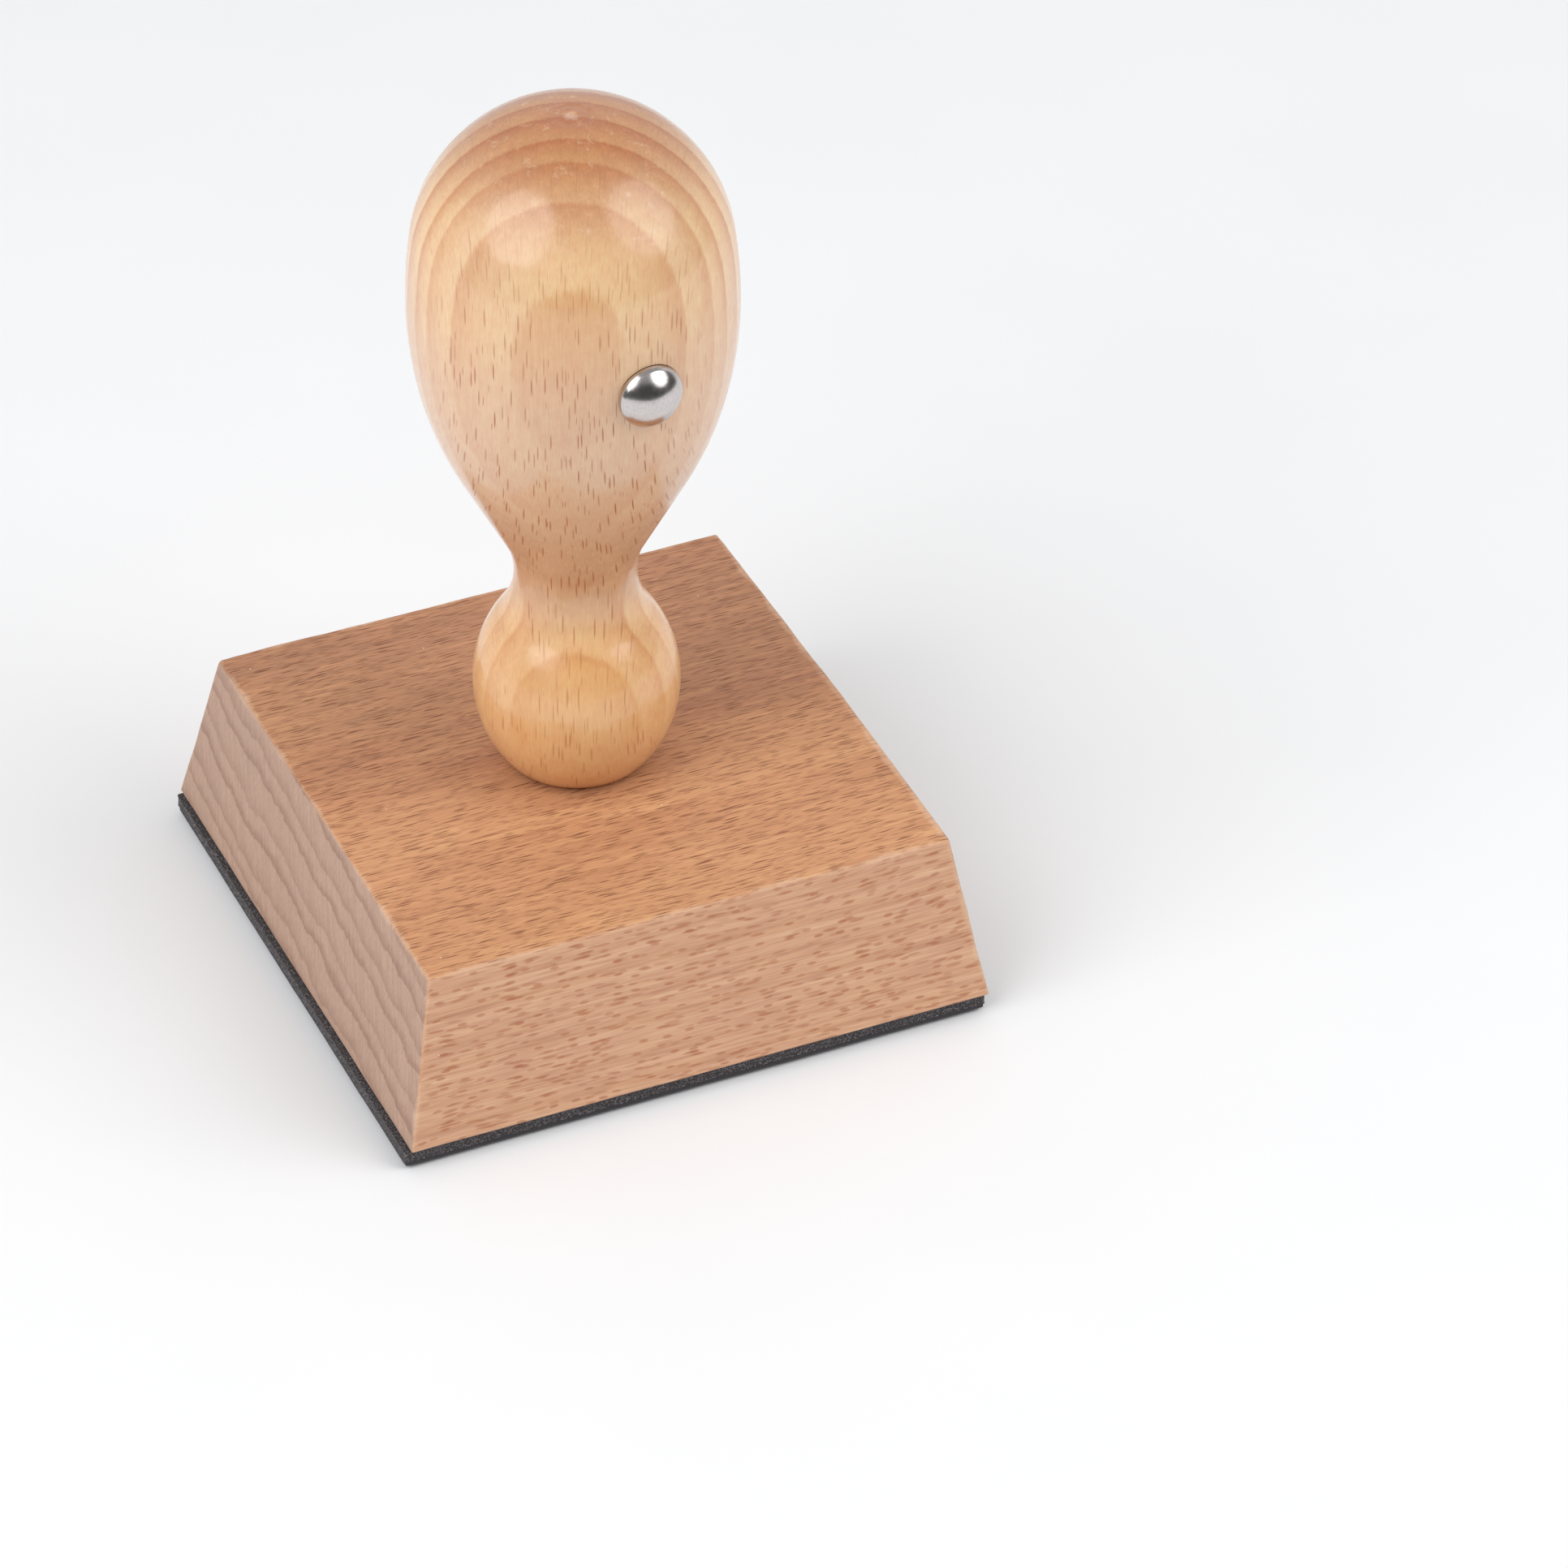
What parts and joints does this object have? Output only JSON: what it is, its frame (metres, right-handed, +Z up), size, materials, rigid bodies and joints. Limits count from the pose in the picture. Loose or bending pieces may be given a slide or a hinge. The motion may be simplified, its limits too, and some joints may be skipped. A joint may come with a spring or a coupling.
{
  "type": "rubber stamp",
  "caption": "Wood-mounted rubber stamp: turned pear-shaped handle with a metal front marker, bevelled block, foam cushion and engraved rubber die.",
  "frame": {"origin": "centre of the footprint of the block, on the plane of the printing face", "axes": "+Z up the handle, +X along the block's long grain to the right, -Y to the front, where the marker pin is"},
  "size_m": [0.0707, 0.0718, 0.1077],
  "materials": {
    "handle_wood": "clear satin lacquer on turned beech",
    "block_wood": "sanded, unvarnished beech",
    "nickel": "polished nickel plate",
    "screw_steel": "zinc plated",
    "adhesive": "double-sided film",
    "foam": "fine-celled black foam",
    "die_rubber": "engraved matt rubber"
  },
  "bodies": {
    "base": {"mount_block": "block_wood", "mount_adhesive": "adhesive", "foam_cushion": "foam", "die_adhesive": "adhesive", "rubber_die": "die_rubber"},
    "grip": {"handle": "handle_wood", "marker_pin": "nickel", "handle_screw": "screw_steel"}
  },
  "joints": [
    {"name": "handle_turn", "type": "hinge", "parent": "base", "child": "grip", "pos_m": [0, 0, 0.023], "axis": [0, 0, 1], "continuous": true}
  ]
}
